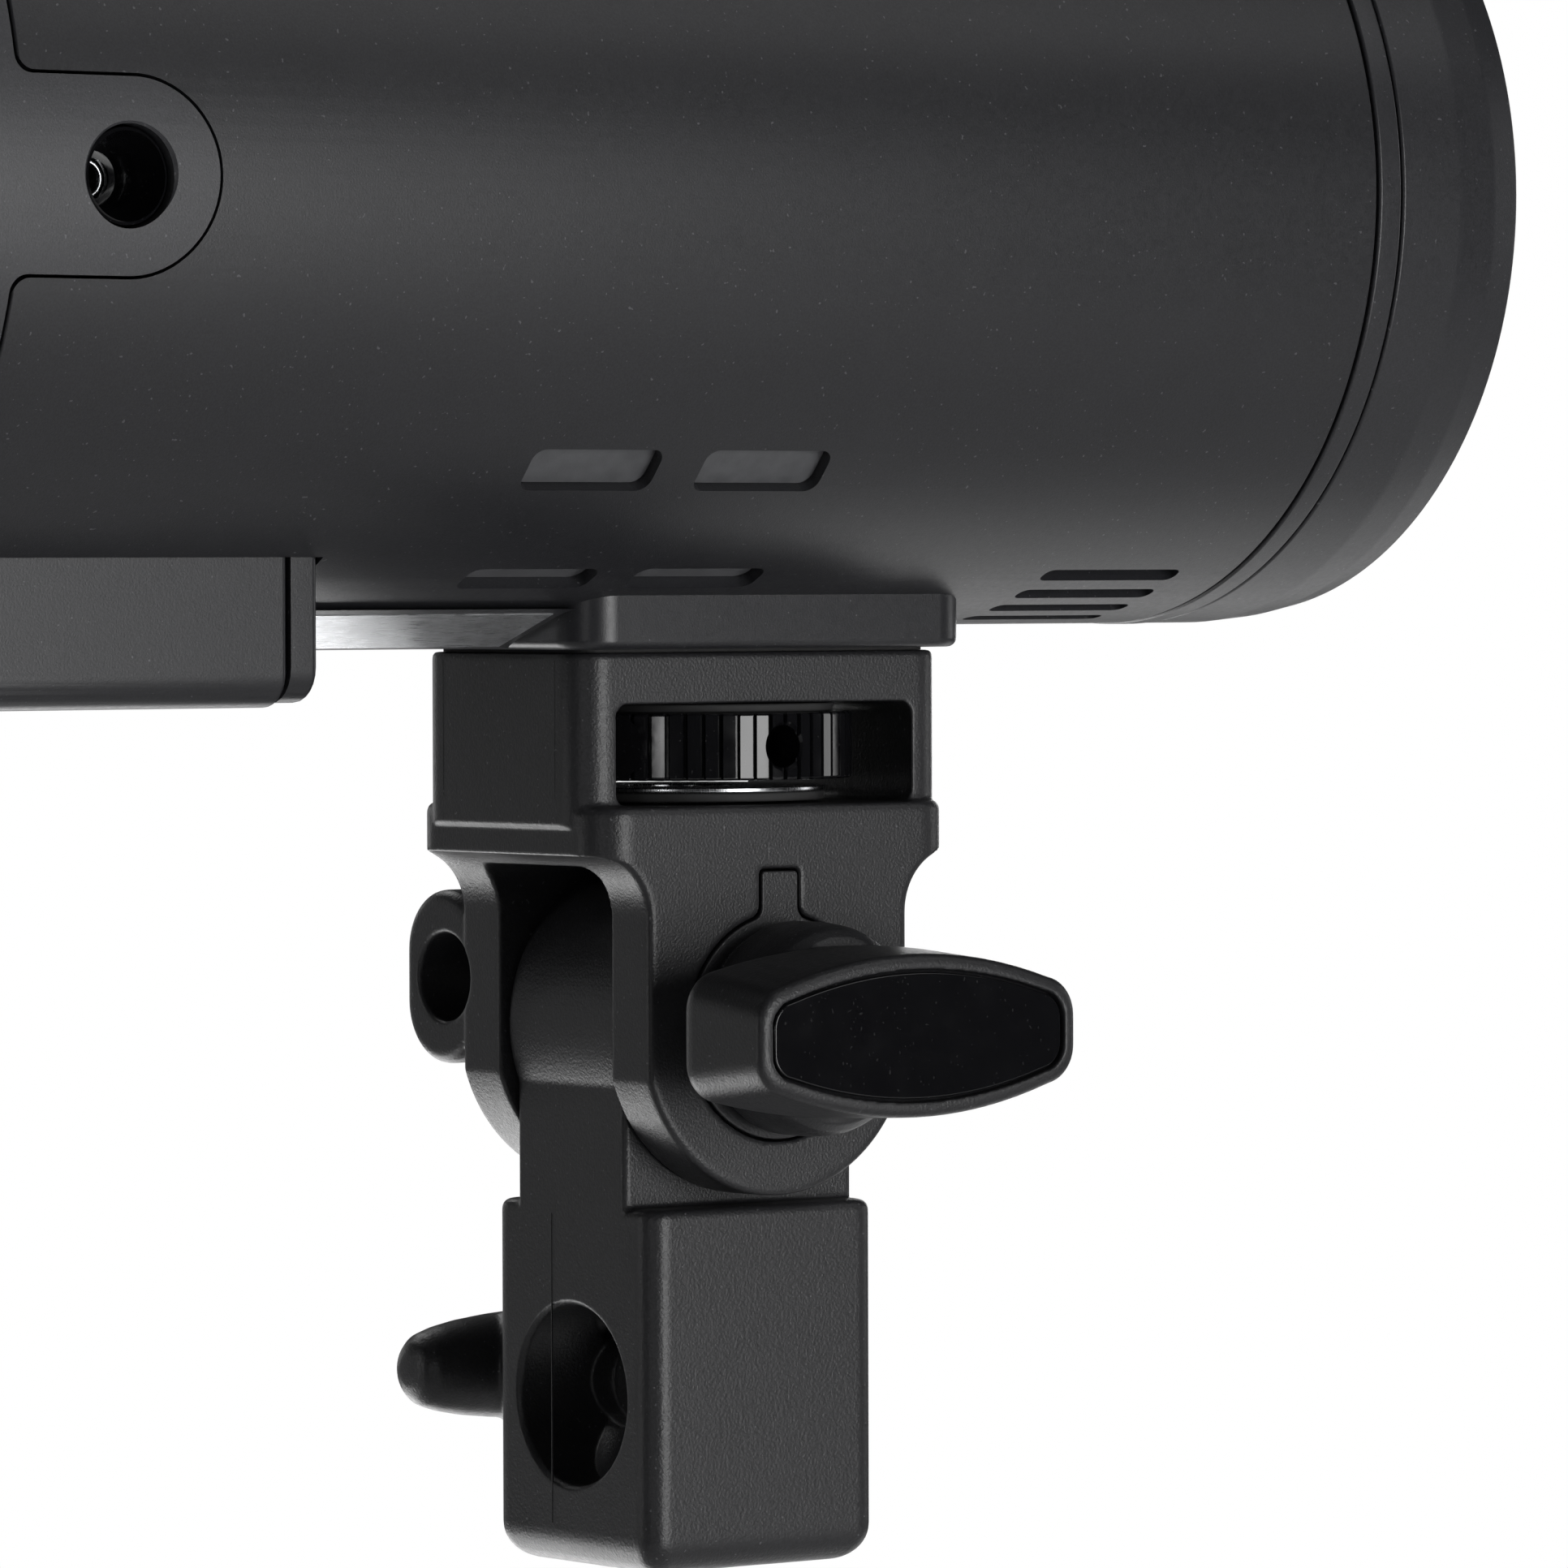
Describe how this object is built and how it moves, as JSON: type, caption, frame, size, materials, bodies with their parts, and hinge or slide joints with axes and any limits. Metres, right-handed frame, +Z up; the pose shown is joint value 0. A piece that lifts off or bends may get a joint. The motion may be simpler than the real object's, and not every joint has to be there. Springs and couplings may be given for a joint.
{
  "type": "monolight strobe",
  "caption": "Battery monolight: cylindrical flash head on a tilting bracket with umbrella hole, thumbwheel, clamp lever and a stud receiver.",
  "frame": {"origin": "centre of the stand socket's mouth, at the underside of the receiver", "axes": "+X along the tube towards the lamp, +Y away from the tilt lever, +Z up out of the socket"},
  "size_m": [0.2013, 0.0833, 0.1705],
  "materials": {
    "moulded_plastic": "fine-textured charcoal moulding, satin",
    "gloss_plastic": "polished black",
    "key_rubber": "matt key rubber",
    "sensor_red": "translucent red",
    "steel": "bright turned steel",
    "brass": "turned brass",
    "aluminium": "polished reflector sheet",
    "glass": "frosted or clear glass",
    "insulation": "grey insulation sheet",
    "circuit_board": "green board",
    "cell_sleeve": "dark blue shrink sleeve",
    "ceramic": "unglazed ceramic",
    "led_phosphor": "yellow phosphor on a white module"
  },
  "bodies": {
    "receiver": {"stand_receiver": "moulded_plastic", "clamp_insert": "brass", "tilt_bushing": "brass"},
    "head": {"tilt_yoke": "moulded_plastic", "tilt_insert": "moulded_plastic", "main_housing": "moulded_plastic", "rear_housing": "moulded_plastic", "battery_bay": "moulded_plastic", "fan_frame": "moulded_plastic", "front_ring": "moulded_plastic", "front_collar": "moulded_plastic", "control_panel": "gloss_plastic", "display_module": "gloss_plastic", "sync_jack": "gloss_plastic", "slave_sensor": "sensor_red", "tilt_washer": "steel", "tilt_nut": "steel", "wheel_washer": "steel", "locating_pin_front": "steel", "locating_pin_rear": "steel", "rear_screw_1": "steel", "rear_screw_2": "steel", "charge_port": "steel", "foot_insert": "brass", "battery_contacts": "brass", "reflector_dish": "aluminium", "front_glass": "glass", "flash_tube": "glass", "display_window": "glass", "insulation_sleeve": "insulation", "bulkhead": "insulation", "control_board": "circuit_board", "power_board": "circuit_board", "capacitor_near": "cell_sleeve", "capacitor_far": "cell_sleeve", "lamp_base": "ceramic", "modelling_light": "led_phosphor"},
    "stand_lock": {"stand_lock_handle": "moulded_plastic", "stand_lock_screw": "steel"},
    "tilt_lever": {"tilt_lever": "moulded_plastic", "lever_inlay": "gloss_plastic", "tilt_bolt": "steel"},
    "thumbwheel": {"thumbwheel": "gloss_plastic", "foot_stud": "steel"},
    "umbrella_lock": {"umbrella_knob": "moulded_plastic", "umbrella_screw": "steel"},
    "battery": {"battery_case": "moulded_plastic", "battery_lid": "moulded_plastic", "battery_cell_near": "cell_sleeve", "battery_cell_far": "cell_sleeve"},
    "battery_latch": {"battery_latch": "key_rubber"},
    "fan_rotor": {"fan_rotor": "gloss_plastic"},
    "mount_release": {"mount_release": "key_rubber"},
    "control_dial": {"control_dial": "moulded_plastic"},
    "set_button": {"set_button": "gloss_plastic"},
    "power_button": {"power_button": "sensor_red"},
    "mode_button": {"mode_button": "key_rubber"},
    "lamp_button": {"lamp_button": "key_rubber"},
    "test_button": {"test_button": "key_rubber"}
  },
  "joints": [
    {"name": "head_tilt", "type": "hinge", "parent": "receiver", "child": "head", "pos_m": [0, 0, 0.051], "axis": [0, 1, 0], "range_deg": [-90, 90]},
    {"name": "tilt_lever_turn", "type": "hinge", "parent": "head", "child": "tilt_lever", "pos_m": [0, 0, 0.051], "axis": [0, -1, 0], "range_deg": [0, 270]},
    {"name": "stand_lock_turn", "type": "hinge", "parent": "receiver", "child": "stand_lock", "pos_m": [0, 0, 0.0168], "axis": [0, 1, 0], "range_deg": [0, 300]},
    {"name": "thumbwheel_turn", "type": "hinge", "parent": "head", "child": "thumbwheel", "pos_m": [0, 0, 0.051], "axis": [0, 0, 1], "continuous": true},
    {"name": "umbrella_lock_turn", "type": "hinge", "parent": "head", "child": "umbrella_lock", "pos_m": [0.006, 0, 0.055], "axis": [0, 1, 0], "range_deg": [0, 300]},
    {"name": "battery_slide", "type": "slide", "parent": "head", "child": "battery", "axis": [-1, 0, 0], "range_m": [0, 0.066]},
    {"name": "battery_latch_press", "type": "slide", "parent": "battery", "child": "battery_latch", "axis": [1, 0, 0], "range_m": [0, 0.0015], "stiffness_N_per_m": 600},
    {"name": "mount_release_press", "type": "slide", "parent": "head", "child": "mount_release", "axis": [0, -1, 0], "range_m": [0, 0.0015], "stiffness_N_per_m": 600},
    {"name": "dial_turn", "type": "hinge", "parent": "head", "child": "control_dial", "pos_m": [-0.125, 0, 0.1213], "axis": [-1, 0, 0], "continuous": true},
    {"name": "set_button_press", "type": "slide", "parent": "head", "child": "set_button", "axis": [1, 0, 0], "range_m": [0, 0.0006], "stiffness_N_per_m": 400},
    {"name": "power_button_press", "type": "slide", "parent": "head", "child": "power_button", "axis": [1, 0, 0], "range_m": [0, 0.001], "stiffness_N_per_m": 400},
    {"name": "mode_button_press", "type": "slide", "parent": "head", "child": "mode_button", "axis": [1, 0, 0], "range_m": [0, 0.001], "stiffness_N_per_m": 400},
    {"name": "lamp_button_press", "type": "slide", "parent": "head", "child": "lamp_button", "axis": [1, 0, 0], "range_m": [0, 0.001], "stiffness_N_per_m": 400},
    {"name": "test_button_press", "type": "slide", "parent": "head", "child": "test_button", "axis": [1, 0, 0], "range_m": [0, 0.001], "stiffness_N_per_m": 400},
    {"name": "fan_spin", "type": "hinge", "parent": "head", "child": "fan_rotor", "pos_m": [-0.0478, 0, 0.1294], "axis": [1, 0, 0], "continuous": true}
  ]
}
